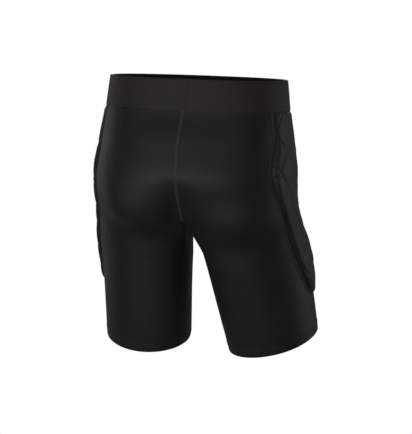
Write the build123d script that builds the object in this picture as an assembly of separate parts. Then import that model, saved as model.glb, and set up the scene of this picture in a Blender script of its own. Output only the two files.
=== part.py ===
from build123d import *
import math
import os

# Padded impact shorts, as worn by someone standing with the right leg a little forward.
# Frame: +Z up, the wearer faces -Y and has the left leg at +X. The origin is the centre of the
# waist opening. Sizes are in millimetres and angles in degrees. A drop is a height below the
# waist edge, and a depth is measured from the X axis.

# Body, from the waist edge down to the crotch. The high hip is a fall below the band, and the
# hip and the seat are rises above the crotch.
WAIST_BREADTH = 288.0
WAIST_FRONT = 105.0
WAIST_BACK = 105.0
BAND_HEIGHT = 48.0
BAND_BREADTH = 299.0
BAND_FRONT = 108.0
BAND_BACK = 111.0
HIGH_HIP_FALL = 52.0
HIGH_HIP_BREADTH = 308.0
HIGH_HIP_FRONT = 112.0
HIGH_HIP_BACK = 126.0
HIP_RISE = 75.0
HIP_BREADTH = 321.0
HIP_FRONT = 110.0
HIP_BACK = 138.0
SEAT_RISE = 20.0
SEAT_BREADTH = 324.0
SEAT_FRONT = 106.0
SEAT_BACK = 131.0
CROTCH_DROP = 240.0
CORNER_POWER = 2.25
CROTCH_ROUND = 14.0
CROTCH_STEPS = (0.0, 0.2, 0.6, 1.2, 2.1, 3.2)

# Legs: half axes of a turned oval at the crotch and at the hem, and where the oval stands. The
# body turns into the legs from a rise above the crotch to a fall below it.
INSEAM = 200.0
THIGH_HALF_BREADTH = 77.0
THIGH_HALF_DEPTH = 106.0
HEM_HALF_BREADTH = 70.0
HEM_HALF_DEPTH = 89.0
LEG_CENTRE_X = 89.5
LEG_CENTRE_Y = -24.0
LEG_TURN_OUT = 27.0
MEDIAL_OPENING = 45.0
LEG_BLEND_RISE = 100.0
LEG_BLEND_FALL = 60.0
HEM_TILT = 13.5
LEG_PITCH = {"left": 10.5, "right": 15.0}
LEG_SPREAD = {"left": 0.2, "right": 9.5}
HEM_OUTER_RISE = {"left": -0.5, "right": 8.5}

# Cloth, band, hems and seams.
FABRIC = 1.5
BAND_PROUD = 0.9
BAND_STITCH = 5.0
BUTT_JOIN = 9.0
BUTT_JOIN_X = -9.0
SEAM_RISE = 0.8
SEAM_WIDTH = 6.0
HEM_TURN = 14.0
HEM_STITCH = 3.0
GUSSET_WIDTH = 38.0
GUSSET_RISE = 36.0
GUSSET_FALL = 26.0

# Side pads: moulded foam between a mesh backing and a stretch cover. The hip drop is a rise
# above the crotch and the low one a fall below it. The lower sizes in Y are from the leg's
# centre line, which the pad follows. As worn, the left pad's rear edge sits further forward. A
# groove leaves a web of foam under it.
FOAM = 7.0
FOAM_WEB = 1.5
COVER = 1.0
COVER_RIM = 3.0
FOAM_TOP_GAP = 9.0
FLEX_GROOVE = 4.0
GROOVE_ANGLE = 50.0
GROOVE_PITCH = 60.0
FIRST_FALLING_GROOVE = 32.0
FIRST_RISING_GROOVE = 11.0
PAD_TOP_REAR = {"left": 48.0, "right": 55.0}
PAD_TOP_FRONT = -55.0
PAD_HIP_RISE = 93.0
PAD_HIP_REAR = {"left": 50.0, "right": 73.0}
PAD_HIP_FRONT = -75.0
PAD_LOW_FALL = 1.0
PAD_LOW_REAR = {"left": 31.0, "right": 44.0}
PAD_LOW_FRONT = -58.0
PAD_TIP_ABOVE_HEM = 86.0
TIP_INSET = 2.5
PAD_TIP_REAR = -14.0

# Hip hinge along X, and the cylinder round it that parts the legs from the seat.
HINGE_Y = 8.0
HINGE_RISE = 50.0
PARTING_CLEARANCE = 9.0
PARTING_GAP = 1.0

# Construction extents, beyond the shorts.
ABOVE_WAIST = 20.0
BELOW_HEM = 110.0
SPACE = 1400.0
PAST_CENTRE = 2.0
PAST_BAND = 1.0
CRUMB_SHARE = 0.02
OUTLINE_POINTS = 17
INSIDE_POINTS = 7
BODY_STEPS = 14
LEG_STEPS = 10

SIDES = ("left", "right")

# Drops and a radius that follow from the sizes above.
HIGH_HIP_DROP = BAND_HEIGHT + HIGH_HIP_FALL
HIP_DROP = CROTCH_DROP - HIP_RISE
SEAT_DROP = CROTCH_DROP - SEAT_RISE
LEG_BLEND_START = CROTCH_DROP - LEG_BLEND_RISE
LEG_BLEND_END = CROTCH_DROP + LEG_BLEND_FALL
PAD_HIP_DROP = CROTCH_DROP - PAD_HIP_RISE
PAD_LOW_DROP = CROTCH_DROP + PAD_LOW_FALL
PAD_TIP_DROP = CROTCH_DROP + INSEAM - PAD_TIP_ABOVE_HEM
HINGE_DROP = CROTCH_DROP - HINGE_RISE
PARTING_RADIUS = HIP_BACK - HINGE_Y + PARTING_CLEARANCE


def body_levels():
    """Rows of drop, half breadth, front depth and back depth, from the waist to the seat."""
    return [
        (0.0, WAIST_BREADTH / 2, WAIST_FRONT, WAIST_BACK),
        (BAND_HEIGHT, BAND_BREADTH / 2, BAND_FRONT, BAND_BACK),
        (HIGH_HIP_DROP, HIGH_HIP_BREADTH / 2, HIGH_HIP_FRONT, HIGH_HIP_BACK),
        (HIP_DROP, HIP_BREADTH / 2, HIP_FRONT, HIP_BACK),
        (SEAT_DROP, SEAT_BREADTH / 2, SEAT_FRONT, SEAT_BACK),
    ]


def smooth(share):
    """Eases from 0 to 1."""
    share = min(1.0, max(0.0, share))
    return share * share * (3 - 2 * share)


def body_size(drop, column):
    """A body size at any drop, on a smooth curve through the levels."""
    rows = body_levels()
    drop = min(max(drop, rows[0][0]), rows[-1][0])
    slopes = [(rows[1][column] - rows[0][column]) / (rows[1][0] - rows[0][0])]
    for before, after in zip(rows, rows[2:]):
        slopes.append((after[column] - before[column]) / (after[0] - before[0]))
    slopes.append(0.0)
    i = max(k for k in range(len(rows) - 1) if rows[k][0] <= drop)
    step = rows[i + 1][0] - rows[i][0]
    t = (drop - rows[i][0]) / step
    return (
        rows[i][column] * (1 + 2 * t) * (1 - t) ** 2
        + slopes[i] * step * t * (1 - t) ** 2
        + rows[i + 1][column] * t * t * (3 - 2 * t)
        + slopes[i + 1] * step * t * t * (t - 1)
    )


def leg_centre(side, drop):
    """The middle of the leg's oval at a drop, on the wearer's left."""
    below = max(drop, LEG_BLEND_START) - CROTCH_DROP
    x = LEG_CENTRE_X + below * math.tan(math.radians(LEG_SPREAD[side]))
    y = LEG_CENTRE_Y - below * math.tan(math.radians(LEG_PITCH[side]))
    return x, y


def leg_point(side, drop, angle, grow):
    """A point of the leg's oval at a drop, at an angle from its outer side."""
    share = (drop - CROTCH_DROP) / INSEAM
    breadth = THIGH_HALF_BREADTH + (HEM_HALF_BREADTH - THIGH_HALF_BREADTH) * share + grow
    depth = THIGH_HALF_DEPTH + (HEM_HALF_DEPTH - THIGH_HALF_DEPTH) * share + grow
    across = breadth * math.cos(math.radians(angle))
    along = depth * math.sin(math.radians(angle))
    turn = math.radians(LEG_TURN_OUT)
    x, y = leg_centre(side, drop)
    x += across * math.cos(turn) - along * math.sin(turn)
    y += across * math.sin(turn) + along * math.cos(turn)
    return x, y


def seat_point(drop, angle, grow):
    """A point of the body's half oval, from -90 at centre front to 90 at centre back."""
    share = 2 / CORNER_POWER
    s = math.sin(math.radians(angle))
    c = math.cos(math.radians(angle))
    depth = body_size(drop, 3) if s > 0 else body_size(drop, 2)
    x = (body_size(drop, 1) + grow) * abs(c) ** share
    y = math.copysign((depth + grow) * abs(s) ** share, s)
    return x, y


def opened(drop, crotch):
    """How far the two halves have parted: 0 at the crotch, nearly 1 a little below it."""
    return 1 - math.exp(min(0.0, crotch - drop) / CROTCH_ROUND)


def even_spline(points):
    """A spline with the same spacing on every section, so that sections join point to point."""
    shares = [i / (len(points) - 1) for i in range(len(points))]
    return Edge.make_spline(points, parameters=shares)


def section(side, drop, grow):
    """The closed outline of one half at a drop, as a face. It is grown to make room for what
    lies on the cloth, or shrunk to give the inside. Above the crotch it runs past the centre
    plane, where the halves meet."""
    crotch = CROTCH_DROP + grow
    blend = smooth((drop - LEG_BLEND_START) / (LEG_BLEND_END - LEG_BLEND_START))
    apart = opened(drop, crotch)
    outer = []
    for i in range(OUTLINE_POINTS):
        share = i / (OUTLINE_POINTS - 1)
        seat_x, seat_y = seat_point(drop, 180 * share - 90, grow)
        angle = MEDIAL_OPENING - 180 + share * (360 - 2 * MEDIAL_OPENING)
        leg_x, leg_y = leg_point(side, drop, angle, grow)
        x = (1 - blend) * seat_x + blend * leg_x
        if i in (0, OUTLINE_POINTS - 1):
            x = (x + PAST_CENTRE) * apart - PAST_CENTRE
        outer.append(Vector(x, (1 - blend) * seat_y + blend * leg_y, -drop))
    inner = [outer[-1]]
    for i in range(1, INSIDE_POINTS - 1):
        share = i / (INSIDE_POINTS - 1)
        angle = 180 - MEDIAL_OPENING + share * 2 * MEDIAL_OPENING
        x, y = leg_point(side, drop, angle, grow)
        level = outer[-1].Y + (outer[0].Y - outer[-1].Y) * share
        x = (x + PAST_CENTRE) * apart - PAST_CENTRE
        inner.append(Vector(x, apart * y + (1 - apart) * level, -drop))
    inner.append(outer[0])
    if side == "right":
        outer = [Vector(-p.X, p.Y, p.Z) for p in outer]
        inner = [Vector(-p.X, p.Y, p.Z) for p in inner]
    return Face(Wire([even_spline(outer), even_spline(inner)]))


def half_space(side):
    """Everything on one side of the centre plane."""
    across = Align.MIN if side == "left" else Align.MAX
    return Box(SPACE, SPACE, SPACE, align=(across, Align.CENTER, Align.CENTER))


def between(top, bottom):
    """Everything between two drops."""
    return Pos(0, 0, -bottom) * Box(SPACE, SPACE, bottom - top, align=(Align.CENTER, Align.CENTER, Align.MIN))


def form(side, grow):
    """The solid form of one half of the body and its leg, cut off at the centre plane."""
    crotch = CROTCH_DROP + grow
    drops = [-ABOVE_WAIST]
    drops += [CROTCH_DROP * i / BODY_STEPS for i in range(BODY_STEPS)]
    drops += [crotch + share * CROTCH_ROUND for share in CROTCH_STEPS]
    leg_top = drops[-1]
    leg_bottom = CROTCH_DROP + INSEAM + BELOW_HEM
    drops += [leg_top + (leg_bottom - leg_top) * (i + 1) / LEG_STEPS for i in range(LEG_STEPS)]
    return loft([section(side, drop, grow) for drop in drops], ruled=True) & half_space(side)


def layer(side, inside, outside):
    """The cloth between two grown forms of one half."""
    return FORMS[side, outside] - FORMS[side, inside]


def hem_space(side, height):
    """Everything above the hem's plane, once that is raised by a height."""
    mirror = 1 if side == "left" else -1
    drop = CROTCH_DROP + INSEAM * math.cos(math.radians(LEG_PITCH[side]))
    x, y = leg_centre(side, drop)
    rise = math.tan(math.radians(HEM_OUTER_RISE[side]))
    tilt = math.tan(math.radians(HEM_TILT))
    up = Vector(-rise * mirror, tilt, 1).normalized()
    plane = Plane(origin=Vector(mirror * x, y, -drop) + up * height, z_dir=up)
    return plane * Box(SPACE, SPACE, SPACE, align=(Align.CENTER, Align.CENTER, Align.MIN))


def hinge_cylinder(radius):
    return Pos(0, HINGE_Y, -HINGE_DROP) * Rot(0, 90, 0) * Cylinder(radius, SPACE)


def pad_prism(side, top, inset):
    """The pad's outline seen from the side, drawn smaller by an inset, as a bar along X."""
    low = leg_centre(side, PAD_LOW_DROP)[1]
    tip_drop = PAD_TIP_DROP - TIP_INSET * inset
    tip = leg_centre(side, tip_drop)[1] + PAD_TIP_REAR
    rear = [
        (PAD_TOP_REAR[side] - inset, -top),
        (PAD_HIP_REAR[side] - inset, -PAD_HIP_DROP),
        (low + PAD_LOW_REAR[side] - inset, -PAD_LOW_DROP),
        (tip, -tip_drop),
    ]
    front = [
        (tip, -tip_drop),
        (low + PAD_LOW_FRONT + inset, -PAD_LOW_DROP),
        (PAD_HIP_FRONT + inset, -PAD_HIP_DROP),
        (PAD_TOP_FRONT + inset, -top),
    ]
    outline = Wire([Spline(*rear), Spline(*front), Line(front[-1], rear[0])])
    start = THIGH_HALF_BREADTH / 2
    plane = Plane(origin=(start, 0, 0), x_dir=(0, 1, 0), z_dir=(1, 0, 0))
    prism = extrude(plane * Face(outline), SPACE / 2, dir=(1, 0, 0))
    return prism if side == "left" else mirror(prism, Plane.YZ)


def grooves():
    """The diamond lattice of slots along X, seen from the side, down to the pad's tip."""
    slot = Box(SPACE, SPACE, FLEX_GROOVE)
    slots = []
    for i in range(math.ceil(PAD_TIP_DROP / GROOVE_PITCH)):
        falling = FIRST_FALLING_GROOVE + GROOVE_PITCH * i
        rising = FIRST_RISING_GROOVE + GROOVE_PITCH * i
        slots.append(Pos(0, 0, -falling) * Rot(GROOVE_ANGLE, 0, 0) * slot)
        slots.append(Pos(0, 0, -rising) * Rot(-GROOVE_ANGLE, 0, 0) * slot)
    return slots


def one(shape):
    """The solids of a node, without the crumbs that a cut leaves."""
    solids = shape.solids()
    largest = max(s.volume for s in solids)
    kept = [s for s in solids if s.volume > CRUMB_SHARE * largest]
    return kept[0] if len(kept) == 1 else Compound(kept)


GROWTHS = (-2 * FABRIC, -FABRIC, 0.0, SEAM_RISE, BAND_PROUD, FOAM_WEB, FOAM, FOAM + COVER)
FORMS = {(side, grow): form(side, grow) for side in SIDES for grow in GROWTHS}
NODES = {}

# Which space moves with the pelvis, and which with the legs.
above_hinge = Pos(0, 0, -HINGE_DROP) * Box(SPACE, SPACE, SPACE, align=(Align.CENTER, Align.CENTER, Align.MIN))
below_hinge = Pos(0, 0, -HINGE_DROP) * Box(SPACE, SPACE, SPACE, align=(Align.CENTER, Align.CENTER, Align.MAX))
pelvis_space = above_hinge + hinge_cylinder(PARTING_RADIUS)
leg_space = below_hinge - hinge_cylinder(PARTING_RADIUS + PARTING_GAP)
flex_grooves = Part() + grooves()


def whole(inside, outside, space):
    """One layer round both halves, joined at the centre, inside a space."""
    return (layer("left", inside, outside) & space) + (layer("right", inside, outside) & space)


# Waistband: the elastic, its facing, the coverstitch under it, and the butt join, which lies
# beside centre back on the right half.
band_space = between(0, BAND_HEIGHT)
stitch_space = between(BAND_HEIGHT, BAND_HEIGHT + BAND_STITCH)
rear_space = Box(SPACE, SPACE, SPACE, align=(Align.CENTER, Align.MIN, Align.CENTER))
front_space = Box(SPACE, SPACE, SPACE, align=(Align.CENTER, Align.MAX, Align.CENTER))
join_space = band_space & rear_space & (Pos(BUTT_JOIN_X, 0, 0) * Box(BUTT_JOIN, SPACE, SPACE))
NODES["waistband_elastic"] = whole(0.0, BAND_PROUD, band_space) - join_space
NODES["waistband_butt_join"] = layer("right", 0.0, BAND_PROUD) & join_space
NODES["waistband_facing"] = whole(-FABRIC, 0.0, band_space)
NODES["waistband_coverstitch"] = whole(0.0, SEAM_RISE, stitch_space)

# Crotch gusset, and the flatlock seams at centre back and centre front that end at it.
gusset_top = CROTCH_DROP - GUSSET_RISE
gusset_space = between(gusset_top, CROTCH_DROP + GUSSET_FALL) & Box(GUSSET_WIDTH, SPACE, SPACE)
seam_drops = between(BAND_HEIGHT + BAND_STITCH, gusset_top)
seam_space = seam_drops & Box(SEAM_WIDTH, SPACE, SPACE)
NODES["crotch_gusset"] = whole(-FABRIC, 0.0, gusset_space)
NODES["centre_back_seam"] = whole(0.0, SEAM_RISE, seam_space & rear_space)
NODES["centre_front_seam"] = whole(0.0, SEAM_RISE, seam_space & front_space)

for side in SIDES:
    mirrored = 1 if side == "left" else -1
    cloth = layer(side, -FABRIC, 0.0) & between(BAND_HEIGHT, SPACE / 2)
    cloth_inset = pad_prism(side, BAND_HEIGHT - PAST_BAND, 0)
    pad_top = BAND_HEIGHT + BAND_STITCH
    pad_space = pad_prism(side, pad_top, 0) & between(pad_top, SPACE / 2)
    foam_top = BAND_HEIGHT + FOAM_TOP_GAP
    foam_space = pad_prism(side, foam_top, COVER_RIM) & between(foam_top, SPACE / 2)
    seam_ring = (pad_prism(side, pad_top, -SEAM_WIDTH) & between(pad_top, SPACE / 2)) - pad_space
    foam = layer(side, 0.0, FOAM) & foam_space
    cover = (layer(side, 0.0, FOAM + COVER) & pad_space) - foam
    ring = layer(side, 0.0, SEAM_RISE) & seam_ring

    # The plane through the leg's centre line, along X, that parts the back from the front.
    x, y = leg_centre(side, CROTCH_DROP)
    leg_frame = Pos(mirrored * x, y, -CROTCH_DROP) * Rot(-LEG_PITCH[side], 0, 0)
    behind = leg_frame * Box(SPACE, SPACE, SPACE, align=(Align.CENTER, Align.MIN, Align.CENTER))
    inside_leg = Align.MAX if side == "left" else Align.MIN
    inseam_space = leg_frame * Box(SPACE, SEAM_WIDTH, SPACE, align=(inside_leg, Align.CENTER, Align.MAX))
    inseam_space = inseam_space & between(CROTCH_DROP + GUSSET_FALL, SPACE / 2)
    inseam = layer(side, 0.0, SEAM_RISE) & inseam_space
    leg_end = leg_space & hem_space(side, 0)

    body = (cloth & pelvis_space) - cloth_inset - gusset_space
    NODES[f"seat_panel_{side}"] = body & behind
    NODES[f"front_panel_{side}"] = body - behind
    NODES[f"hip_pad_backing_{side}"] = cloth & cloth_inset & pelvis_space
    NODES[f"hip_pad_cover_{side}"] = cover & pelvis_space
    NODES[f"hip_pad_seam_{side}"] = ring & pelvis_space
    NODES[f"upper_inseam_{side}"] = inseam & pelvis_space

    NODES[f"thigh_panel_{side}"] = (cloth & leg_end) - cloth_inset
    NODES[f"thigh_pad_backing_{side}"] = cloth & cloth_inset & leg_end
    NODES[f"thigh_pad_cover_{side}"] = cover & leg_end
    NODES[f"thigh_pad_seam_{side}"] = ring & leg_end
    NODES[f"lower_inseam_{side}"] = inseam & leg_space & hem_space(side, HEM_TURN)
    turned = leg_end - hem_space(side, HEM_TURN)
    NODES[f"hem_turn_up_{side}"] = layer(side, -2 * FABRIC, -FABRIC) & turned
    stitched = hem_space(side, HEM_TURN - HEM_STITCH) - hem_space(side, HEM_TURN)
    NODES[f"hem_coverstitch_{side}"] = layer(side, 0.0, SEAM_RISE) & stitched

    # The foam's flex grooves stop at the web. Its lower end moves with the leg.
    cuts = layer(side, FOAM_WEB, FOAM + COVER) & flex_grooves
    grooved = foam - cuts
    NODES[f"hip_foam_{side}"] = grooved & pelvis_space
    NODES[f"thigh_foam_{side}"] = grooved & leg_end

os.makedirs("parts", exist_ok=True)
for name, shape in NODES.items():
    export_step(one(shape), f"parts/{name}.step")
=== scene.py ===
import math

import bpy
import numpy as np
from mathutils import Matrix, Vector


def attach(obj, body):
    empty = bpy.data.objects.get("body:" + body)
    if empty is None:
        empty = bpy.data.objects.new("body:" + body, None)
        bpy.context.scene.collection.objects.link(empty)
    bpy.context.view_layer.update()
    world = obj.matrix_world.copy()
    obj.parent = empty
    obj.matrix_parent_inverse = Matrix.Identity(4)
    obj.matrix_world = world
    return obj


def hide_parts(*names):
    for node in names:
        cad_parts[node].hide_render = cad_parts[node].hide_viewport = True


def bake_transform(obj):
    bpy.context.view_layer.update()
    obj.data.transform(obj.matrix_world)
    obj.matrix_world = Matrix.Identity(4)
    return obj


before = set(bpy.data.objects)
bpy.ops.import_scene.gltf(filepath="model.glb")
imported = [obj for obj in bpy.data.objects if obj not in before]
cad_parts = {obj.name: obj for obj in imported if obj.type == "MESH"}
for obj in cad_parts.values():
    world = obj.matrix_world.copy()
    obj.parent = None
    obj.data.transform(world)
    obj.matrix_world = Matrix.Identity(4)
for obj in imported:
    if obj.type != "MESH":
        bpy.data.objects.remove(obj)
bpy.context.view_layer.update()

# ---------------------------------------------------------------------------------------------
# Waistband: a 48 mm woven elastic with a soft rounded edge, bought on a reel. It is cut to
# length, butted beside centre back and stretched a little as it is sewn round the top of the body.

# The shorts' shape is needed here first: two halves, each a column round the body (0 centre
# front, 1 centre back, then 2 back at the front along the inner leg) and a row down it (-1 under
# the band, 0 at the crotch, 1 at the hem). Lengths in these functions are in millimetres.
# BODY holds the drop below the waist, the half breadth and the depths in front and behind.
BODY = np.array([
    [0, 144.0, 105, 105],
    [48, 149.5, 108, 111],
    [100, 154.0, 112, 126],
    [165, 160.5, 110, 138],
    [220, 162.0, 106, 131],
])
PITCH = {"left": 10.5, "right": 15.0}
SPREAD = {"left": 0.2, "right": 9.5}
HEM_RISE = {"left": -0.5, "right": 8.5}
HEM_TILT = 13.5
BAND = 48.0
FORK = 228.0
FORK_SAG = 16.0
FORK_ROUNDING = 20.0
CROTCH = 240.0
INSEAM = 200.0
LEG_X, LEG_Y = 89.5, -24.0
THIGH_ACROSS, THIGH_DEEP = 77.0, 106.0
TAPER_ACROSS, TAPER_DEEP = 7.0, 17.0
THIGH_TURN = 27.0
SEAT_POWER = 2 / 2.25
SEAT_END = 140.0
SEAT_TO_LEG = 160.0
SIDES = ("left", "right")


def smooth(t):
    t = np.clip(t, 0, 1)
    return t * t * (3 - 2 * t)


def through(x, y, at, level_end=False):
    """A smooth curve through points, held beyond both ends."""
    slope = np.zeros(len(x))
    slope[0] = (y[1] - y[0]) / (x[1] - x[0])
    slope[1:-1] = (y[2:] - y[:-2]) / (x[2:] - x[:-2])
    slope[-1] = 0.0 if level_end else (y[-1] - y[-2]) / (x[-1] - x[-2])
    at = np.clip(at, x[0], x[-1])
    i = np.clip(np.searchsorted(x, at, side="right") - 1, 0, len(x) - 2)
    h = x[i + 1] - x[i]
    t = (at - x[i]) / h
    return (y[i] * (1 + 2 * t) * (1 - t) ** 2 + slope[i] * h * t * (1 - t) ** 2
            + y[i + 1] * t * t * (3 - 2 * t) + slope[i + 1] * h * t * t * (t - 1))


def level(drop, column):
    return through(BODY[:, 0], BODY[:, column], drop, level_end=True)


def leg_centre(side, drop):
    below = np.maximum(drop, SEAT_END) - CROTCH
    return (LEG_X + below * math.tan(math.radians(SPREAD[side])),
            LEG_Y - below * math.tan(math.radians(PITCH[side])))


def leg_oval(side, drop, angle):
    share = (drop - CROTCH) / INSEAM
    a = (THIGH_ACROSS - TAPER_ACROSS * share) * np.cos(angle)
    b = (THIGH_DEEP - TAPER_DEEP * share) * np.sin(angle)
    turn = math.radians(THIGH_TURN)
    x, y = leg_centre(side, drop)
    return (x + a * math.cos(turn) - b * math.sin(turn),
            y + a * math.sin(turn) + b * math.cos(turn))


def leg_share(drop):
    """How far the outline has turned from the seat's oval into the thigh's."""
    return smooth((drop - SEAT_END) / SEAT_TO_LEG)


def apart(drop, fork):
    """How far the legs have parted: 0 at the fork, nearly 1 a few centimetres below it."""
    return np.sqrt(1 - np.exp(-np.maximum(drop - fork, 0.0) / FORK_ROUNDING))


KNOTS = 17
bend = np.eye(KNOTS)
pull = np.zeros((KNOTS, KNOTS))
for k in range(1, KNOTS - 1):
    bend[k, k - 1:k + 2] = (1, 4, 1)
    pull[k, k - 1:k + 2] = (6, -12, 6)
CURVE = np.linalg.inv(bend) @ pull


def outline(side, drop):
    """The outline from centre front round the side to centre back, at KNOTS even columns."""
    share = np.linspace(0, 1, KNOTS)
    d = np.asarray(drop, float)[..., None]
    turn = np.radians(180 * share - 90)
    s = np.sin(turn)
    seat_x = level(d, 1) * np.abs(np.cos(turn)) ** SEAT_POWER
    depth = np.where(s > 0, level(d, 3), level(d, 2))
    seat_y = depth * np.sign(s) * np.abs(s) ** SEAT_POWER
    leg_x, leg_y = leg_oval(side, d, np.radians(270 * share - 135))
    mix = leg_share(d)
    x = (1 - mix) * seat_x + mix * leg_x
    y = (1 - mix) * seat_y + mix * leg_y
    ends = apart(d[..., 0], FORK)
    x[..., 0] *= ends
    x[..., -1] *= ends
    return x, y


def spline(values, c):
    """Natural cubic splines through values at KNOTS even columns, read at columns c."""
    curve = values @ CURVE.T
    i = np.clip((c * (KNOTS - 1)).astype(int), 0, KNOTS - 2)
    t = c * (KNOTS - 1) - i
    take = lambda a, k: np.take_along_axis(a, k[..., None], -1)[..., 0]
    return ((1 - t) * take(values, i) + t * take(values, i + 1)
            + ((1 - t) ** 3 - (1 - t)) / 6 * take(curve, i)
            + (t ** 3 - t) / 6 * take(curve, i + 1))


def fork_at(c):
    return FORK + FORK_SAG * np.sin(math.pi * np.clip(c - 1, 0, 1))


def shape(side, c, drop):
    """X and Y at columns and drops, with both sides taken as if they were the left."""
    c, drop = np.broadcast_arrays(np.asarray(c, float), np.asarray(drop, float))
    x, y = outline(side, drop)
    outer_x, outer_y = spline(x, np.clip(c, 0, 1)), spline(y, np.clip(c, 0, 1))
    m = np.clip(c - 1, 0, 1)
    leg_x, leg_y = leg_oval(side, drop, np.radians(135 + 90 * m))
    back_y = leg_oval(side, drop, math.radians(135))[1]
    front_y = leg_oval(side, drop, math.radians(225))[1]
    leg_y = leg_y + (y[..., -1] - back_y) * (1 - m) ** 2 + (y[..., 0] - front_y) * m ** 2
    mix = leg_share(drop)
    gap = apart(drop, fork_at(c))
    inner_x = leg_x * gap * (mix + (1 - mix) * np.sqrt(np.maximum(4 * m * (1 - m), 0)))
    inner_y = gap * leg_y + (1 - gap) * (y[..., -1] + (y[..., 0] - y[..., -1]) * m)
    return np.where(c > 1, inner_x, outer_x), np.where(c > 1, inner_y, outer_y)


HEM_COLUMNS = np.linspace(0, 2, 161)
HEM = {}
for side in SIDES:
    centre = CROTCH + INSEAM * math.cos(math.radians(PITCH[side]))
    hx, hy = leg_centre(side, centre)
    drop = np.full(HEM_COLUMNS.shape, centre)
    for _ in range(8):
        x, y = shape(side, HEM_COLUMNS, drop)
        drop = (centre + math.tan(math.radians(HEM_TILT)) * (y - hy)
                - math.tan(math.radians(HEM_RISE[side])) * (x - hx))
    HEM[side] = drop


def drop_at(side, c, r):
    start = np.where(c > 1, fork_at(c), FORK)
    low = start + (np.interp(c, HEM_COLUMNS, HEM[side]) - start) * r
    return np.where(r < 0, FORK + (FORK - BAND) * r, low)


def bare(side, c, r):
    drop = drop_at(side, c, r)
    x, y = shape(side, c, drop)
    return np.stack([x, y, -drop], -1)


# The crease under each side of the seat: its middle's X, half breadth and drop, and how much it
# rises at half its breadth.
CREASE = {"left": (58, 68, 254, 16), "right": (80, 66, 268, 12)}
CREASE_DEPTH = 4.0
FULLNESS = 17.0
FULLEST_ABOVE = 42


def folds(side, p):
    """How far the worn cloth stands off the plain shape: the crease under the seat, the fullness
    above it, and slow unevenness."""
    x, y, drop = p[..., 0], p[..., 1], -p[..., 2]
    middle, half, lowest, rise = CREASE[side]
    q = (x - middle) / half
    s = drop - (lowest - rise * q * q)
    across = np.exp(-np.abs(q) ** 3) * smooth((y + 20) / 70) * smooth(x / 38)
    crease_in = -CREASE_DEPTH * np.exp(-(s / np.where(s > 0, 22.0, 16.0)) ** 2)
    above = s + FULLEST_ABOVE
    fullness = FULLNESS * np.exp(-np.abs(above / np.where(above > 0, 27.0, 36.0)) ** 2.2)
    phase = 1.0 if side == "left" else 2.6
    slow = 0.35 * np.sin(x / 23 + phase) * np.sin(drop / 31 + y / 37 + phase)
    slow = slow + 0.25 * np.sin(y / 17 - drop / 43 + 2 * phase)
    pulled = smooth((drop - 245) / 30) * smooth((320 - drop) / 60) * np.exp(-((x - 20) / 30) ** 2)
    drag = 0.4 * pulled * np.sin((drop - 0.9 * x) / 4.4)
    return across * (crease_in + fullness) + (slow * smooth((drop - 20) / 50) + drag) * smooth(x / 20)


def surface(side, c, r, lift=0.0):
    """Points in metres on the shorts' outer surface or a lift above it, and outward normals."""
    c, r, lift = np.broadcast_arrays(*(np.asarray(v, float) for v in (c, r, lift)))
    p = bare(side, c, r)
    step_r, step_c = 2e-3, 3e-3
    down = bare(side, c, r + step_r) - p
    low = np.where(c > 1, 1 + 1e-9, 0.0)
    high = np.where(c > 1, 2.0, 1.0)
    along = (bare(side, np.minimum(c + step_c, high), r)
             - bare(side, np.maximum(c - step_c, low), r))
    n = np.cross(down, along)
    n /= np.maximum(np.linalg.norm(n, axis=-1, keepdims=True), 1e-9)
    p = p + n * (lift + folds(side, p))[..., None]
    p[..., 0] = np.maximum(p[..., 0], 0.0)
    if side == "right":
        p = p * (-1, 1, 1)
        n = n * (-1, 1, 1)
    return p * 0.001, n


def row(drop):
    """The row of a drop at or above the fork. Below it, rows follow the hem's slope."""
    return (drop - FORK) / (FORK - BAND)


def net(name, points, outward=None):
    """A grid primitive laid over an array of points, with its UVs in metres along and down."""
    rows, columns = points.shape[:2]
    bpy.ops.object.select_all(action="DESELECT")
    bpy.ops.mesh.primitive_grid_add(x_subdivisions=columns - 1, y_subdivisions=rows - 1, size=1)
    o = bpy.context.object
    o.name = name
    o.data.name = name
    plain = np.zeros(len(o.data.vertices) * 3)
    o.data.vertices.foreach_get("co", plain)
    plain = plain.reshape(-1, 3)
    i = np.rint((0.5 - plain[:, 1]) * (rows - 1)).astype(int)
    j = np.rint((plain[:, 0] + 0.5) * (columns - 1)).astype(int)
    o.data.vertices.foreach_set("co", points[i, j].ravel())
    steps = np.linalg.norm(np.diff(points, axis=1), axis=-1)
    u = np.concatenate([np.zeros((rows, 1)), np.cumsum(steps, 1)], 1)
    u -= u[:, columns // 2][:, None]
    steps = np.linalg.norm(np.diff(points, axis=0), axis=-1)
    v = -np.concatenate([np.zeros((1, columns)), np.cumsum(steps, 0)], 0)
    loops = np.zeros(len(o.data.loops), int)
    o.data.loops.foreach_get("vertex_index", loops)
    uv = np.stack([u[i, j][loops], v[i, j][loops]], -1)
    o.data.uv_layers[0].data.foreach_set("uv", uv.ravel())
    o.data.update()
    if outward is not None:
        normals = np.zeros(len(o.data.vertices) * 3)
        o.data.vertices.foreach_get("normal", normals)
        if np.sum(normals.reshape(-1, 3) * outward[i, j]) < 0:
            o.data.flip_normals()
    return o


def merge(o, distance=0.00004, consistent=True):
    bpy.ops.object.select_all(action="DESELECT")
    bpy.context.view_layer.objects.active = o
    o.select_set(True)
    bpy.ops.object.mode_set(mode="EDIT")
    bpy.ops.mesh.select_all(action="SELECT")
    bpy.ops.mesh.remove_doubles(threshold=distance)
    bpy.ops.mesh.dissolve_degenerate(threshold=0.000005)
    if consistent:
        bpy.ops.mesh.select_all(action="SELECT")
        bpy.ops.mesh.normals_make_consistent(inside=False)
    bpy.ops.object.mode_set(mode="OBJECT")


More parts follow.
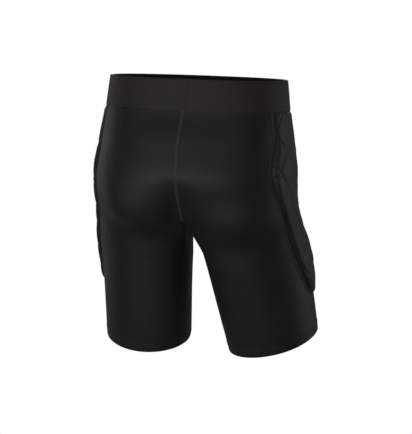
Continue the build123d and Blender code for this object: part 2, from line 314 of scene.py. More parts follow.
def join(name, parts):
    bpy.ops.object.select_all(action="DESELECT")
    for o in parts:
        o.select_set(True)
    bpy.context.view_layer.objects.active = parts[0]
    if len(parts) > 1:
        bpy.ops.object.join()
    o = bpy.context.view_layer.objects.active
    o.name = name
    o.data.name = name
    return o


def rounded(o, angle=40):
    bpy.ops.object.select_all(action="DESELECT")
    bpy.context.view_layer.objects.active = o
    o.select_set(True)
    bpy.ops.object.shade_smooth_by_angle(angle=math.radians(angle))


def round_waist(name, profile, columns=140):
    """A closed profile of drops and lifts, taken round the waist."""
    profile = np.array(profile + profile[:1])
    c = np.linspace(0, 1, columns)[None, :]
    r, lift = row(profile[:, :1]), profile[:, 1:]
    halves = []
    for side in SIDES:
        points, _ = surface(side, c, r, lift)
        halves.append(net(name + "_" + side, points))
    o = join(name, halves)
    merge(o)
    rounded(o)
    return o


elastic = [(48.3, 0.2), (48.2, 0.8), (47.6, 1.05)]
elastic += [(d, 1.05 + 0.1 * math.cos(d * math.pi / 1.5)) for d in np.linspace(46.5, 4.5, 57)]
elastic += [(3.2, 1.15), (2.4, 0.85), (1.6, 1.1), (0.8, 0.9), (0.2, 0.5), (0.0, 0.0)]
elastic += [(0.2, -0.5), (0.8, -0.85), (2.0, -1.0)]
elastic += [(12.0, -1.0), (30.0, -1.0), (44.0, -1.0), (45.0, -0.2)]
waistband = round_waist("waistband", elastic)


def node(tree, kind, **values):
    n = tree.nodes.new(kind)
    for key, value in values.items():
        setattr(n, key, value)
    return n


def maths(tree, operation, a, b=None, c=None):
    """A Math node. Each input is a number or an output socket."""
    n = node(tree, "ShaderNodeMath", operation=operation)
    for socket, value in zip(n.inputs, (a, b, c)):
        if isinstance(value, bpy.types.NodeSocket):
            tree.links.new(value, socket)
        elif value is not None:
            socket.default_value = value
    return n.outputs[0]


def group(name, inputs, outputs):
    tree = bpy.data.node_groups.new(name, "ShaderNodeTree")
    for label, kind in inputs:
        tree.interface.new_socket(label, in_out="INPUT", socket_type=kind)
    for label, kind in outputs:
        tree.interface.new_socket(label, in_out="OUTPUT", socket_type=kind)
    return tree, node(tree, "NodeGroupInput"), node(tree, "NodeGroupOutput")


def pattern_group(name):
    """A group that takes nothing and gives a cloth's relief, and a Shade that darkens its colour
    where the relief is low: painted shade in the grooves.
    """
    tree, _, out = group(
        name, [], [("Height", "NodeSocketFloat"), ("Shade", "NodeSocketFloat")])
    return tree, out


def give_pattern(tree, out, height, contrast, base):
    tree.links.new(height, out.inputs["Height"])
    # Painted shade: the colour follows the relief's height, darker in its low grooves.
    tree.links.new(maths(tree, "MULTIPLY_ADD", height, contrast, base), out.inputs["Shade"])


# The unevenness of tone and of gloss that every cloth shares: slow patches and a fine fleck.
worn, worn_in, worn_out = group(
    "cloth_tone",
    [("Color", "NodeSocketColor"), ("Fleck", "NodeSocketFloat")],
    [("Color", "NodeSocketColor"), ("Roughness", "NodeSocketFloat")])
coords = node(worn, "ShaderNodeTexCoord")
patches = node(worn, "ShaderNodeTexNoise")
patches.inputs["Scale"].default_value = 14.0
patches.inputs["Detail"].default_value = 3.0
fine = node(worn, "ShaderNodeTexNoise")
fine.inputs["Scale"].default_value = 900.0
fine.inputs["Detail"].default_value = 2.0
worn.links.new(coords.outputs["Object"], patches.inputs["Vector"])
worn.links.new(coords.outputs["Object"], fine.inputs["Vector"])
patchy = maths(worn, "MULTIPLY_ADD", patches.outputs["Fac"], 0.5, 0.75)
fleck = maths(worn, "SUBTRACT", fine.outputs["Fac"], 0.5)
fleck = maths(worn, "MULTIPLY", fleck, worn_in.outputs["Fleck"])
tone = maths(worn, "ADD", patchy, fleck)
tint = node(worn, "ShaderNodeVectorMath", operation="SCALE")
worn.links.new(worn_in.outputs["Color"], tint.inputs[0])
worn.links.new(tone, tint.inputs["Scale"])
worn.links.new(tint.outputs[0], worn_out.inputs["Color"])
rough = maths(worn, "MULTIPLY_ADD", patches.outputs["Fac"], 0.16, 0.5)
worn.links.new(rough, worn_out.inputs["Roughness"])

# Woven elastic: fine ribs round the band, crossed by the rubber threads, with painted shade making
# the colour darker in the low parts between them.
RIB, RUBBER_GAP = 0.0011, 0.0008
ribs, ribs_out = pattern_group("elastic_ribs")
coords = node(ribs, "ShaderNodeTexCoord")
split = node(ribs, "ShaderNodeSeparateXYZ")
ribs.links.new(coords.outputs["UV"], split.inputs[0])
across = maths(ribs, "SINE", maths(ribs, "MULTIPLY", split.outputs["Y"], 2 * math.pi / RIB))
along = maths(ribs, "SINE", maths(ribs, "MULTIPLY", split.outputs["X"], 2 * math.pi / RUBBER_GAP))
height = maths(ribs, "ADD", across, maths(ribs, "MULTIPLY", along, 0.4))
give_pattern(ribs, ribs_out, height, 0.06, 1.0)
TONE_ROUGHNESS = 0.58


def cloth(name, color, pattern, fleck, sheen, roughness, relief, distance=0.0002):
    """A cloth material: the shared tone over a colour, and a pattern group for its relief and for
    painted shade that darkens the colour in the relief's grooves.
    """
    m = bpy.data.materials.new(name)
    m.use_nodes = True
    tree = m.node_tree
    shader = tree.nodes["Principled BSDF"]
    shader.inputs["Specular IOR Level"].default_value = 0.3
    shader.inputs["Sheen Weight"].default_value = sheen
    shader.inputs["Sheen Roughness"].default_value = 0.4
    shader.inputs["Sheen Tint"].default_value = (0.9, 0.86, 0.9, 1)
    tone = node(tree, "ShaderNodeGroup")
    tone.node_tree = worn
    tone.inputs["Color"].default_value = (*color, 1)
    tone.inputs["Fleck"].default_value = fleck
    weave = node(tree, "ShaderNodeGroup")
    weave.node_tree = pattern
    # The pattern's painted groove shade scales the base colour.
    tint = node(tree, "ShaderNodeVectorMath", operation="SCALE")
    tree.links.new(tone.outputs["Color"], tint.inputs[0])
    tree.links.new(weave.outputs["Shade"], tint.inputs["Scale"])
    tree.links.new(tint.outputs[0], shader.inputs["Base Color"])
    gloss = maths(tree, "ADD", tone.outputs["Roughness"], roughness - TONE_ROUGHNESS)
    tree.links.new(gloss, shader.inputs["Roughness"])
    bump = node(tree, "ShaderNodeBump")
    bump.inputs["Strength"].default_value = relief
    bump.inputs["Distance"].default_value = distance
    tree.links.new(weave.outputs["Height"], bump.inputs["Height"])
    tree.links.new(bump.outputs["Normal"], shader.inputs["Normal"])
    return m


def dress(o, material):
    o.data.materials.clear()
    o.data.materials.append(material)


band_cloth = cloth("band_elastic", (0.0222, 0.0163, 0.0208), ribs, 0.5, 0.06, 0.62, 0.35)
dress(waistband, band_cloth)
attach(waistband, "pelvis")
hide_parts("waistband_elastic")

# ---------------------------------------------------------------------------------------------
# Band facing: a strip of the body's knit inside the band, sewn in with it. It keeps the elastic
# off the skin and hides the raw edges of the panels.
facing = round_waist("band_facing", [
    (3.0, -1.1), (3.6, -1.75), (20.0, -1.85), (38.0, -1.8),
    (48.0, -1.85), (51.5, -1.8), (52.5, -1.2), (30.0, -1.15)])

# Stretch knit: wales run down the cloth as chains of small V-shaped loops, and painted shade darkens
# the colour in the low parts between them.
WALE, COURSE = 0.0009, 0.0007
knit, knit_out = pattern_group("stretch_knit")
coords = node(knit, "ShaderNodeTexCoord")
split = node(knit, "ShaderNodeSeparateXYZ")
knit.links.new(coords.outputs["UV"], split.inputs[0])
wale = maths(knit, "MULTIPLY", split.outputs["X"], 1 / WALE)
chain = maths(knit, "PINGPONG", wale, 0.5)
course = maths(knit, "MULTIPLY", split.outputs["Y"], 1 / COURSE)
loop = maths(knit, "SINE", maths(knit, "MULTIPLY", maths(knit, "ADD", course, chain), 2 * math.pi))
height = maths(knit, "ADD", maths(knit, "MULTIPLY", chain, 1.6), maths(knit, "MULTIPLY", loop, 0.35))
give_pattern(knit, knit_out, height, 0.12, 0.95)
jersey = cloth("body_knit", (0.0115, 0.0104, 0.0099), knit, 0.6, 0.03, 0.52, 0.25)
dress(facing, jersey)
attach(facing, "pelvis")
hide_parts("waistband_facing")

# ---------------------------------------------------------------------------------------------
# Band join: beside centre back the elastic's ends butt together under a short tape and two
# lines of straight stitches.


def swept(name, p, n, profile):
    """A closed profile of across and up offsets in millimetres, swept along points."""
    t = np.gradient(p, axis=0)
    t /= np.linalg.norm(t, axis=-1, keepdims=True)
    b = np.cross(n, t)
    b /= np.linalg.norm(b, axis=-1, keepdims=True)
    profile = np.array(profile + profile[:1]) * 0.001
    across, up = profile[:, 0, None, None], profile[:, 1, None, None]
    o = net(name, p[None] + b[None] * across + n[None] * up)
    bpy.ops.object.mode_set(mode="EDIT")
    bpy.ops.mesh.select_all(action="SELECT")
    bpy.ops.mesh.remove_doubles(threshold=0.000004)
    bpy.ops.mesh.select_all(action="DESELECT")
    bpy.ops.mesh.select_non_manifold(
        extend=False, use_wire=False, use_multi_face=False, use_non_contiguous=False)
    bpy.ops.mesh.edge_face_add()
    bpy.ops.mesh.select_all(action="SELECT")
    bpy.ops.mesh.normals_make_consistent(inside=False)
    bpy.ops.object.mode_set(mode="OBJECT")
    return o


def along_path(p, n, at):
    """The path's points, normals and crosswise directions at distances along it, in metres."""
    run = np.concatenate([[0], np.cumsum(np.linalg.norm(np.diff(p, axis=0), axis=-1))])
    q = np.stack([np.interp(at, run, p[:, k]) for k in range(3)], -1)
    m = np.stack([np.interp(at, run, n[:, k]) for k in range(3)], -1)
    m /= np.linalg.norm(m, axis=-1, keepdims=True)
    t = np.gradient(p, axis=0)
    t = np.stack([np.interp(at, run, t[:, k]) for k in range(3)], -1)
    b = np.cross(m, t)
    b /= np.linalg.norm(b, axis=-1, keepdims=True)
    return q, m, b


def length_of(p):
    return float(np.sum(np.linalg.norm(np.diff(p, axis=0), axis=-1)))


def thread_mesh(name, rings):
    """Tubes of five sides from an array of rings: tube, ring, side, xyz."""
    strands, count, sides = rings.shape[:3]
    faces = []
    for k in range(strands):
        base = k * count * sides
        for i in range(count - 1):
            for j in range(sides):
                a = base + i * sides + j
                b = base + i * sides + (j + 1) % sides
                faces.append((a, b, b + sides, a + sides))
        faces.append(tuple(base + j for j in reversed(range(sides))))
        faces.append(tuple(base + (count - 1) * sides + j for j in range(sides)))
    mesh = bpy.data.meshes.new(name)
    mesh.from_pydata(rings.reshape(-1, 3).tolist(), [], faces)
    layer = mesh.uv_layers.new(name="UVMap")
    co = rings.reshape(-1, 3)
    loops = np.zeros(len(mesh.loops), int)
    mesh.loops.foreach_get("vertex_index", loops)
    layer.data.foreach_set("uv", np.stack([co[loops, 0] + co[loops, 1], co[loops, 2]], -1).ravel())
    o = bpy.data.objects.new(name, mesh)
    bpy.context.scene.collection.objects.link(o)
    bpy.context.view_layer.objects.active = o
    bpy.ops.object.select_all(action="DESELECT")
    o.select_set(True)
    bpy.ops.object.mode_set(mode="EDIT")
    bpy.ops.mesh.select_all(action="SELECT")
    bpy.ops.mesh.normals_make_consistent(inside=False)
    bpy.ops.object.mode_set(mode="OBJECT")
    return o


def tubes(centres, ups, sideways, radius):
    """Rings of five points round centre lines, which are an array of tube, ring, xyz."""
    turn = np.linspace(0, 2 * math.pi, 6)[:-1]
    return (centres[:, :, None] + ups[:, :, None] * (np.cos(turn) * radius)[None, None, :, None]
            + sideways[:, :, None] * (np.sin(turn) * radius)[None, None, :, None])


def stitches(name, p, n, across, up, pitch=2.6, radius=0.24):
    """A line of straight stitches beside a path: each one rises from its hole and dips back."""
    count = max(2, int(length_of(p) * 1000 / pitch))
    starts = np.arange(count) * pitch * 0.001
    share = np.array([0.0, 0.16, 0.5, 0.84, 1.0])
    at = starts[:, None] + share[None] * pitch * 0.9 * 0.001
    q, m, b = (v.reshape(count, len(share), 3) for v in along_path(p, n, at.ravel()))
    rise = np.array([-1.6, 0.1, 0.5, 0.1, -1.6]) * radius
    centres = q + b * across * 0.001 + m * ((up + rise) * 0.001)[None, :, None]
    return thread_mesh(name, tubes(centres, m, b, radius * 0.001))


def zigzag(name, p, n, width, up, pitch=2.6, radius=0.2):
    """The looper thread that crosses a flat seam from side to side."""
    count = max(4, int(length_of(p) * 2000 / pitch))
    at = np.arange(count) * pitch * 0.0005
    q, m, b = along_path(p, n, at)
    side_step = np.where(np.arange(count) % 2 == 0, -0.5, 0.5) * width * 0.001
    line = q + b * side_step[:, None] + m * up * 0.001
    t = np.gradient(line, axis=0)
    t /= np.linalg.norm(t, axis=-1, keepdims=True)
    sideways = np.cross(m, t)
    sideways /= np.linalg.norm(sideways, axis=-1, keepdims=True)
    return thread_mesh(name, tubes(line[None], m[None], sideways[None], radius * 0.001))


def behind(drops, shifts):
    """Points and normals on the back, at drops and at small shifts to the left of centre."""
    points, normals = [], []
    for drop, shift in zip(drops, shifts):
        p, n = surface("left" if shift > 0 else "right", np.linspace(1.0, 0.92, 60), row(drop))
        run = np.abs(p[:, 0]) * 1000
        points.append([np.interp(abs(shift), run, p[:, k]) for k in range(3)])
        normals.append([np.interp(abs(shift), run, n[:, k]) for k in range(3)])
    return np.array(points), np.array(normals)


JOIN_SHIFT = -9.0
BAND_PROUD = 0.0011
drops = np.linspace(1.5, 47.0, 24)
p, n = behind(drops, np.full(drops.shape, JOIN_SHIFT))
p += n * BAND_PROUD
tape = swept("band_join", p, n, [
    (-4.2, -0.2), (-4.0, 0.22), (-1.0, 0.3), (-0.35, 0.12),
    (0.35, 0.12), (1.0, 0.3), (4.0, 0.22), (4.2, -0.2)])
rows_of_thread = [stitches("band_join_a", p, n, -3.0, 0.28), stitches("band_join_b", p, n, 3.0, 0.28)]
rows_of_thread.append(zigzag("band_join_c", p, n, 2.6, 0.3))
band_join = join("band_join", [tape] + rows_of_thread)
rounded(band_join)
dress(band_join, band_cloth)
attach(band_join, "pelvis")
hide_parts("waistband_butt_join")

# ---------------------------------------------------------------------------------------------
# Side pads: moulded foam 7 mm thick with flex grooves, bonded under a smooth stretch cover that
# is pressed into the grooves. Each is sewn into an opening from the band to above the hem.
# The opening's edges are needed by the panels too: rear and front, as Y by drop.
TOP, HIP, LOW, TIP = 49.0, 147.0, 241.0, 354.0
EDGE_DROPS = np.array([TOP, 98, HIP, 195, LOW, 300, 340, TIP])
REAR = {
    "left": np.array([48.0, 43, 50, 40, 7, -18, -43, -59]),
    "right": np.array([55.0, 59, 73, 51, 17, -16, -46, -68]),
}
FRONT = {
    "left": np.array([-55.0, -67, -75, -80, -83, -79, -70, -59]),
    "right": np.array([-55.0, -67, -75, -80, -83, -86, -79, -68]),
}
PAD_ROWS = 240
PAD_TOP = row(50.0)
GROOVE = math.radians(50)
GROOVE_PITCH = 60.0
FIRST_FALLING, FIRST_RISING = 32.0, 11.0
GROOVE_HALF = 1.9
EDGE_HEIGHT, FOAM_HEIGHT, DOME_HEIGHT, GROOVE_DEPTH = 0.3, 5.0, 0.9, 1.3
EDGE_SLOPE = 9.0
PAD_C = {}
for side in SIDES:
    cs = np.linspace(0.1, 0.96, 600)
    tip_c = np.interp(REAR[side][-1], shape(side, cs, TIP)[1], cs)
    tip_r = (TIP - FORK) / (np.interp(tip_c, HEM_COLUMNS, HEM[side]) - FORK)
    rs = np.linspace(PAD_TOP - 0.06, tip_r, PAD_ROWS)
    edges = []
    for table in (FRONT[side], REAR[side]):
        found = []
        for r in rs:
            p = bare(side, cs, np.full(cs.shape, r))
            past = p[:, 1] - through(EDGE_DROPS, table, -p[:, 2])
            i = int(np.argmax(past > 0))
            found.append(cs[i - 1] + (cs[i] - cs[i - 1]) * past[i - 1] / (past[i - 1] - past[i]))
        found = np.array(found)
        found[-1] = tip_c
        for _ in range(3):
            found[1:-1] = (found[:-2] + 2 * found[1:-1] + found[2:]) / 4
        edges.append(found)
    PAD_C[side] = (rs, edges[0], edges[1], tip_r, float(tip_c))


def pad_edge(side, r, which):
    rs, front, rear, _, tip_c = PAD_C[side]
    return np.interp(r, rs, front if which == "front" else rear, right=tip_c)


def pad_lift(p, inward):
    """The pad's height over the cloth: domed cells between pressed grooves, thin at its edges
    and towards the band."""
    y, drop = p[..., 1], -p[..., 2]
    pitch = GROOVE_PITCH * math.cos(GROOVE)
    falling = (drop - FIRST_FALLING + y * math.tan(GROOVE)) * math.cos(GROOVE)
    rising = (drop - FIRST_RISING - y * math.tan(GROOVE)) * math.cos(GROOVE)
    gap_a = np.abs((falling + pitch / 2) % pitch - pitch / 2)
    gap_b = np.abs((rising + pitch / 2) % pitch - pitch / 2)
    near = np.minimum(gap_a, gap_b)
    cell = 1 - np.exp(-(near / GROOVE_HALF) ** 2)
    dome = smooth(near / (pitch / 2))
    edge = smooth((inward - 0.5) / EDGE_SLOPE)
    fade = 0.2 + 0.8 * smooth((drop - 50) / 75)
    foam = fade * (FOAM_HEIGHT + DOME_HEIGHT * dome)
    return EDGE_HEIGHT + edge * (foam + GROOVE_DEPTH * cell)


def bend_with_leg(o):
    """Bakes the piece's placement into its mesh. The piece is not attached to a body and does not
    bend with the leg.
    """
    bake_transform(o)


PAD_COLUMNS = 96
EDGE_CROWDING = 0.04
pad_cloth = cloth("pad_cover", (0.0160, 0.0120, 0.0125), knit, 0.5, 0.06, 0.55, 0.2)
for side in SIDES:
    rs = np.linspace(PAD_TOP, PAD_C[side][3], PAD_ROWS)
    share = np.linspace(0, 1, PAD_COLUMNS)
    share = share - EDGE_CROWDING * np.sin(2 * math.pi * share)
    c0, c1 = pad_edge(side, rs, "front"), pad_edge(side, rs, "rear")
    c = c0[:, None] + (c1 - c0)[:, None] * share[None]
    r = np.repeat(rs[:, None], len(share), 1)
    flat, normals = surface(side, c, r)
    width = np.linalg.norm(np.diff(flat, axis=1), axis=-1).sum(1)[:, None] * 1000
    steps = np.linalg.norm(np.diff(flat[:, PAD_COLUMNS // 2], axis=0), axis=-1)
    down = np.concatenate([[0], np.cumsum(steps)])[:, None] * 1000
    inward = np.minimum(np.minimum(share[None] * width, (1 - share[None]) * width), down + 2.0)
    inward = np.minimum(inward, down[-1] - down + 1.0)
    lift = pad_lift(flat * 1000, inward)
    outer, normals = surface(side, c, r, lift)
    inner, under = surface(side, c, r, 0.1)
    for k in (0, -1):
        outer[k], outer[:, k] = inner[k], inner[:, k]
    top = net("pad_top", outer, normals)
    bottom = net("pad_bottom", inner, -under)
    pad = join("pad_" + side, [top, bottom])
    merge(pad, 0.00002)
    rounded(pad, 60)
    dress(pad, pad_cloth)
    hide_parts("hip_pad_cover_" + side, "thigh_pad_cover_" + side,
                "hip_foam_" + side, "thigh_foam_" + side)
    bend_with_leg(pad)

# ---------------------------------------------------------------------------------------------
# Body panels: one cut of smooth black stretch knit each side, wrapped from the inseam round the
# leg, with an opening for the pad. It is cut smaller than the body and stretched over it.


def shell(o, thickness):
    """Gives a sheet its thickness, inward from the side that its normals face."""
    m = o.modifiers.new("thickness", "SOLIDIFY")
    m.thickness = thickness
    m.offset = -1.0
    m.use_quality_normals = True
    bpy.ops.object.select_all(action="DESELECT")
    bpy.context.view_layer.objects.active = o
    o.select_set(True)
    bpy.ops.object.modifier_apply(modifier=m.name)


INSEAM_C = 1.28
RAW_EDGE = row(45.5)
PANEL_THICKNESS = 0.0011
for side in SIDES:
    tip_r = PAD_C[side][3]
    upper = np.linspace(RAW_EDGE, 0, 52)[:-1]
    lower = np.linspace(0, 1, 64) ** 1.2
    lower[np.argmin(np.abs(lower - tip_r))] = tip_r
    rs = np.concatenate([upper, lower])
    parts = []
    for which, columns in (("front", 40), ("rear", 48)):
        edge = pad_edge(side, rs, which)
        far = 0.0 if which == "front" else 1.0
        share = np.linspace(0, 1, columns)
        c = far + (edge - far)[:, None] * share[None]
        points, normals = surface(side, c, rs[:, None])
        parts.append(net("panel_" + which, points, normals))
    for low, high, columns in ((1.0, INSEAM_C, 10), (INSEAM_C, 2.0, 22)):
        c = np.linspace(low, high, columns)[None]
        c = np.where(c == 1.0, 1.0 + 1e-9, c)
        points, normals = surface(side, c, lower[:, None])
        parts.append(net("panel_inner", points, normals))
    panel = join("panel_" + side, parts)
    merge(panel, 0.0002, consistent=False)
    shell(panel, PANEL_THICKNESS)
    rounded(panel, 80)
    dress(panel, jersey)
    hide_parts("seat_panel_" + side, "front_panel_" + side, "thigh_panel_" + side)
    bend_with_leg(panel)

# ---------------------------------------------------------------------------------------------
# Pad backings: open warp-knit mesh behind each pad, against the skin, sewn into the same seams.
# Each has the pad's outline and runs up under the band.
BACKING_THICKNESS = 0.0008
# Open mesh: cells of holes, with painted shade darkening the colour towards the middle of each cell,
# where the relief is lowest.
mesh_weave, mesh_out = pattern_group("open_mesh")
coords = node(mesh_weave, "ShaderNodeTexCoord")
cells = node(mesh_weave, "ShaderNodeTexVoronoi")
cells.inputs["Scale"].default_value = 420.0
cells.inputs["Randomness"].default_value = 0.12
mesh_weave.links.new(coords.outputs["UV"], cells.inputs["Vector"])
hole = maths(mesh_weave, "MULTIPLY", cells.outputs["Distance"], 2.0)
give_pattern(mesh_weave, mesh_out, hole, 0.7, 0.35)
mesh_cloth = cloth("pad_mesh", (0.022, 0.021, 0.022), mesh_weave, 0.3, 0.05, 0.75, 0.6, 0.0004)
for side in SIDES:
    rs = np.linspace(RAW_EDGE, PAD_C[side][3], 90)
    share = np.linspace(0, 1, 34)
    c0, c1 = pad_edge(side, rs, "front"), pad_edge(side, rs, "rear")
    c = c0[:, None] + (c1 - c0)[:, None] * share[None]
    points, normals = surface(side, c, rs[:, None], -0.15)
    backing = net("pad_backing_" + side, points, normals)
    merge(backing, 0.0002, consistent=False)
    shell(backing, BACKING_THICKNESS)
    rounded(backing, 80)
    dress(backing, mesh_cloth)
    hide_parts("hip_pad_backing_" + side, "thigh_pad_backing_" + side)
    bend_with_leg(backing)

# ---------------------------------------------------------------------------------------------
# Pad seams: a four-needle flat seam down each edge of a pad. Two lines of needle thread lie on
# a raised ridge, crossed by the cover thread. They meet at the pad's tip.
# Spun thread: diagonal twist bands, with painted shade darkening the colour in the low part of each
# band.
spun, spun_out = pattern_group("spun_thread")
coords = node(spun, "ShaderNodeTexCoord")
twist = node(spun, "ShaderNodeTexWave", wave_type="BANDS", bands_direction="DIAGONAL")
twist.inputs["Scale"].default_value = 900.0
twist.inputs["Distortion"].default_value = 1.5
spun.links.new(coords.outputs["Object"], twist.inputs["Vector"])
give_pattern(spun, spun_out, twist.outputs["Fac"], 0.5, 0.75)
thread = cloth("seam_thread", (0.034, 0.030, 0.031), spun, 0.5, 0.1, 0.6, 0.3, 0.0001)
RIDGE = [(-3.0, -0.3), (-2.7, 0.35), (-1.4, 0.62), (0.0, 0.68), (1.4, 0.62), (2.7, 0.35), (3.0, -0.3)]


def flat_seam(name, p, n):
    parts = [swept(name, p, n, RIDGE)]
    for k, across in enumerate((-2.0, 2.0)):
        parts.append(stitches(name + "_needle_" + str(k), p, n, across, 0.62))
    parts.append(zigzag(name + "_cover", p, n, 4.0, 0.72))
    return parts


for side in SIDES:
    parts = []
    for which, shift in (("front", -0.004), ("rear", 0.004)):
        rs = np.linspace(row(49.0), PAD_C[side][3], 150)
        c = pad_edge(side, rs, which) + shift
        p, n = surface(side, c, rs)
        parts += flat_seam("pad_seam_" + which, p, n)
    seams = join("pad_seams_" + side, parts)
    rounded(seams, 50)
    dress(seams, thread)
    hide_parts("hip_pad_seam_" + side, "thigh_pad_seam_" + side)
    bend_with_leg(seams)

# ---------------------------------------------------------------------------------------------
# Crotch gusset: a second layer of the knit laid over the crossing of the seams, from low on the
# back to the front and a little down each inner leg.
# Along it, t runs from the back (to BACK_END) over the crotch to the front (from FRONT_START).
GUSSET_HALF = 19.0
GUSSET_RISE = 24.0
GUSSET_THICKNESS = 0.0007
BACK_END, FRONT_START = 0.26, 0.74
on_back = np.linspace(0, BACK_END, 16)
on_crotch = np.linspace(BACK_END, FRONT_START, 30)[1:]
on_front = np.linspace(FRONT_START, 1, 16)[1:]
steps = np.concatenate([on_back, on_crotch, on_front])
halves = []
for side in SIDES:
    ray = np.linspace(0, 1, 80)
    share = np.linspace(0, 1, 12)
    points = np.zeros((len(steps), len(share), 3))
    normals = np.zeros_like(points)
    for k, t in enumerate(steps):
        if t < BACK_END or t > FRONT_START:
            u = (BACK_END - t) / BACK_END if t < BACK_END else (t - FRONT_START) / BACK_END
            r = np.full(ray.shape, -u * GUSSET_RISE / (FORK - BAND))
            c = 1 - ray * 0.09 if t < BACK_END else ray * 0.09
        else:
            u = (t - BACK_END) / (FRONT_START - BACK_END)
            c = np.full(ray.shape, 1 + 1e-6 + u * (1 - 2e-6))
            r = ray ** 1.6 * 0.2
        p, n = surface(side, c, r)
        run = np.concatenate([[0], np.cumsum(np.linalg.norm(np.diff(p, axis=0), axis=-1))])
        at = share * GUSSET_HALF * 0.001
        points[k] = np.stack([np.interp(at, run, p[:, i]) for i in range(3)], -1)
        normals[k] = np.stack([np.interp(at, run, n[:, i]) for i in range(3)], -1)
        end = smooth((1 - share) / 0.3) * smooth(min(t, 1 - t) / 0.1)
        points[k] += normals[k] * (0.0007 * end - 0.0003)[:, None]
    halves.append(net("gusset_" + side, points, normals))
gusset = join("gusset", halves)
merge(gusset, 0.0003, consistent=False)
shell(gusset, GUSSET_THICKNESS)
rounded(gusset, 80)
dress(gusset, jersey)
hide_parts("crotch_gusset")
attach(gusset, "pelvis")

# ---------------------------------------------------------------------------------------------
# Centre back and centre front seams: the same flat seam, joining the left and right panels from
# the band down to the crotch. The back one wanders a few millimetres off centre as worn.
WANDER = np.array([[49, -4.8], [100, -1.2], [160, -2.3], [227, 2.4]])
drops = np.linspace(49.0, 227.0, 90)
for name, node_name in (("back_seam", "centre_back_seam"), ("front_seam", "centre_front_seam")):
    if name == "back_seam":
        p, n = behind(drops, through(WANDER[:, 0], WANDER[:, 1], drops))
    else:
        p, n = surface("left", 0.0, row(drops))
        n = n * (0, 1, 1)
    seam = join(name, flat_seam(name, p, n))
    rounded(seam, 50)
    dress(seam, thread)
    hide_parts(node_name)
    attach(seam, "pelvis")

# ---------------------------------------------------------------------------------------------
# Inseams: the flat seam that closes each leg tube, down the inside from just below the gusset
# to just above the leg's edge.
for side in SIDES:
    rs = np.linspace(0.12, 0.985, 70)
    p, n = surface(side, np.full(rs.shape, INSEAM_C), rs)
    seam = join("inseam_" + side, flat_seam("inseam_" + side, p, n))
    rounded(seam, 50)
    dress(seam, thread)
    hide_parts("upper_inseam_" + side, "lower_inseam_" + side)
    bend_with_leg(seam)

# ---------------------------------------------------------------------------------------------
# Hems: the leg's edge turned up 14 mm inside and held by a twin-needle coverstitch, whose two
# lines of thread show outside.
LEG_COLUMNS = np.concatenate([np.linspace(0, 1, 130), np.linspace(1, 2, 50)[1:]])
turn_up = np.array([
    (1.8, 0.12), (0.6, 0.0), (-0.3, -0.7), (-0.5, -1.4), (-0.2, -2.1), (0.8, -2.45), (7.0, -2.5),
    (13.6, -2.5), (14.0, -2.1), (13.6, -1.3), (6.0, -1.25), (1.8, -1.2), (1.8, 0.12)])
for side in SIDES:
    c = LEG_COLUMNS[None, :]
    fork = np.where(LEG_COLUMNS > 1, fork_at(LEG_COLUMNS), FORK)
    fall = np.interp(LEG_COLUMNS, HEM_COLUMNS, HEM[side]) - fork
    r = 1 - turn_up[:, :1] / fall[None, :]
    points, _ = surface(side, c, r, turn_up[:, 1:])
    hem = net("hem_" + side, points)
    merge(hem)
    rounded(hem, 60)
    dress(hem, jersey)
    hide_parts("hem_turn_up_" + side)
    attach(hem, side + "_leg")
    parts = []
    for up in (10.5, 14.0):
        p, n = surface(side, LEG_COLUMNS, 1 - up / fall)
        parts.append(stitches("hem_line", p, n, 0.0, 0.12, radius=0.3))
    stitching = join("hem_stitching_" + side, parts)
    rounded(stitching, 60)
    dress(stitching, thread)
    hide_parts("hem_coverstitch_" + side)
    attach(stitching, side + "_leg")

# ---------------------------------------------------------------------------------------------
# Band stitching: the coverstitch that holds the body to the band, round the waist just below
# the elastic.
parts = []
for side in SIDES:
    c = np.linspace(0, 1, 140)
    for drop in (49.8, 53.0):
        p, n = surface(side, c, np.full(c.shape, row(drop)))
        parts.append(stitches("band_line", p, n, 0.0, 0.12, radius=0.26))
band_stitching = join("band_stitching", parts)
rounded(band_stitching, 60)
dress(band_stitching, thread)
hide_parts("waistband_coverstitch")
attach(band_stitching, "pelvis")

# ---------------------------------------------------------------------------------------------
# Studio: a floor well below the hems, which the camera sees as white, a white surround, and soft
# lights behind, in front and to both sides.
bpy.ops.object.select_all(action="DESELECT")
bpy.ops.mesh.primitive_plane_add(size=40, location=(0, 0, -0.75))
floor = bpy.context.object
floor.name = "floor"
paint = bpy.data.materials.new("floor_paint")
paint.use_nodes = True
tree = paint.node_tree
seen = node(tree, "ShaderNodeLightPath")
glow = node(tree, "ShaderNodeEmission")
pick = node(tree, "ShaderNodeMixShader")
tree.nodes["Principled BSDF"].inputs["Base Color"].default_value = (0.3, 0.3, 0.3, 1)
tree.nodes["Principled BSDF"].inputs["Roughness"].default_value = 0.9
tree.links.new(seen.outputs["Is Camera Ray"], pick.inputs[0])
tree.links.new(tree.nodes["Principled BSDF"].outputs[0], pick.inputs[1])
tree.links.new(glow.outputs[0], pick.inputs[2])
tree.links.new(pick.outputs[0], tree.nodes["Material Output"].inputs["Surface"])
dress(floor, paint)
world = bpy.data.worlds.new("studio")
world.use_nodes = True
tree = world.node_tree
seen = node(tree, "ShaderNodeLightPath")
tree.nodes["Background"].inputs["Color"].default_value = (1, 1, 1, 1)
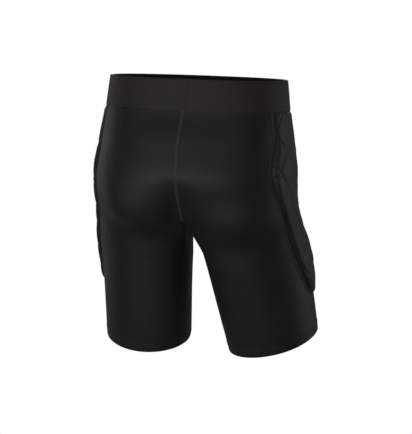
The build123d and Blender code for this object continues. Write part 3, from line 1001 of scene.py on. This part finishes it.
strength = maths(tree, "MULTIPLY_ADD", seen.outputs["Is Camera Ray"], 0.89)
strength.node.inputs[2].default_value = 0.11
tree.links.new(strength, tree.nodes["Background"].inputs["Strength"])
bpy.context.scene.world = world
bpy.context.scene.view_settings.view_transform = "Standard"


def softbox(name, place, aim, size, power):
    light = bpy.data.lights.new(name, "AREA")
    light.shape = "RECTANGLE"
    light.size, light.size_y = size
    light.energy = power
    o = bpy.data.objects.new(name, light)
    bpy.context.scene.collection.objects.link(o)
    o.location = place
    direction = np.array(aim) - np.array(place)
    o.rotation_euler = Vector(direction).to_track_quat("-Z", "Y").to_euler()


softbox("light_key", (1.2, 2.2, -0.2), (0, 0, -0.2), (0.7, 0.6), 16)
softbox("light_low", (-0.3, 2.4, -0.35), (0, 0, -0.38), (0.9, 0.3), 9)
softbox("light_strip", (-1.1, 2.5, 0.2), (0, 0, -0.24), (0.25, 1.2), 6.5)
softbox("light_left", (2.2, -1.2, 0.1), (0, 0, -0.25), (0.6, 1.8), 4.5)
softbox("light_right", (-2.2, -1.4, 0.0), (0, 0, -0.27), (0.6, 1.8), 8)
softbox("light_front", (0.3, -2.6, 0.5), (0, 0, -0.25), (1.0, 0.8), 18)

# Camera: behind the wearer and a little to their right, slightly above and slightly rolled.
azimuth, elevation, roll = math.radians(194.2), math.radians(6.84), math.radians(1.78)
DISTANCE = 2.6
back = np.array([
    math.sin(azimuth) * math.cos(elevation),
    -math.cos(azimuth) * math.cos(elevation),
    math.sin(elevation)])
right = np.array([math.cos(azimuth), math.sin(azimuth), 0])
above = np.cross(back, right)
look = np.array([0, 0, -0.240]) + right * 0.0183 + above * 0.0120
camera = bpy.data.objects.new("camera", bpy.data.cameras.new("camera"))
bpy.context.scene.collection.objects.link(camera)
camera.data.sensor_fit = "HORIZONTAL"
camera.data.sensor_width = 36
camera.data.lens = 138.6
axes = Matrix((right, above, back)).transposed()
axes = axes @ Matrix.Rotation(roll, 3, "Z")
camera.matrix_world = Matrix.Translation(look + back * DISTANCE) @ axes.to_4x4()
bpy.context.scene.camera = camera
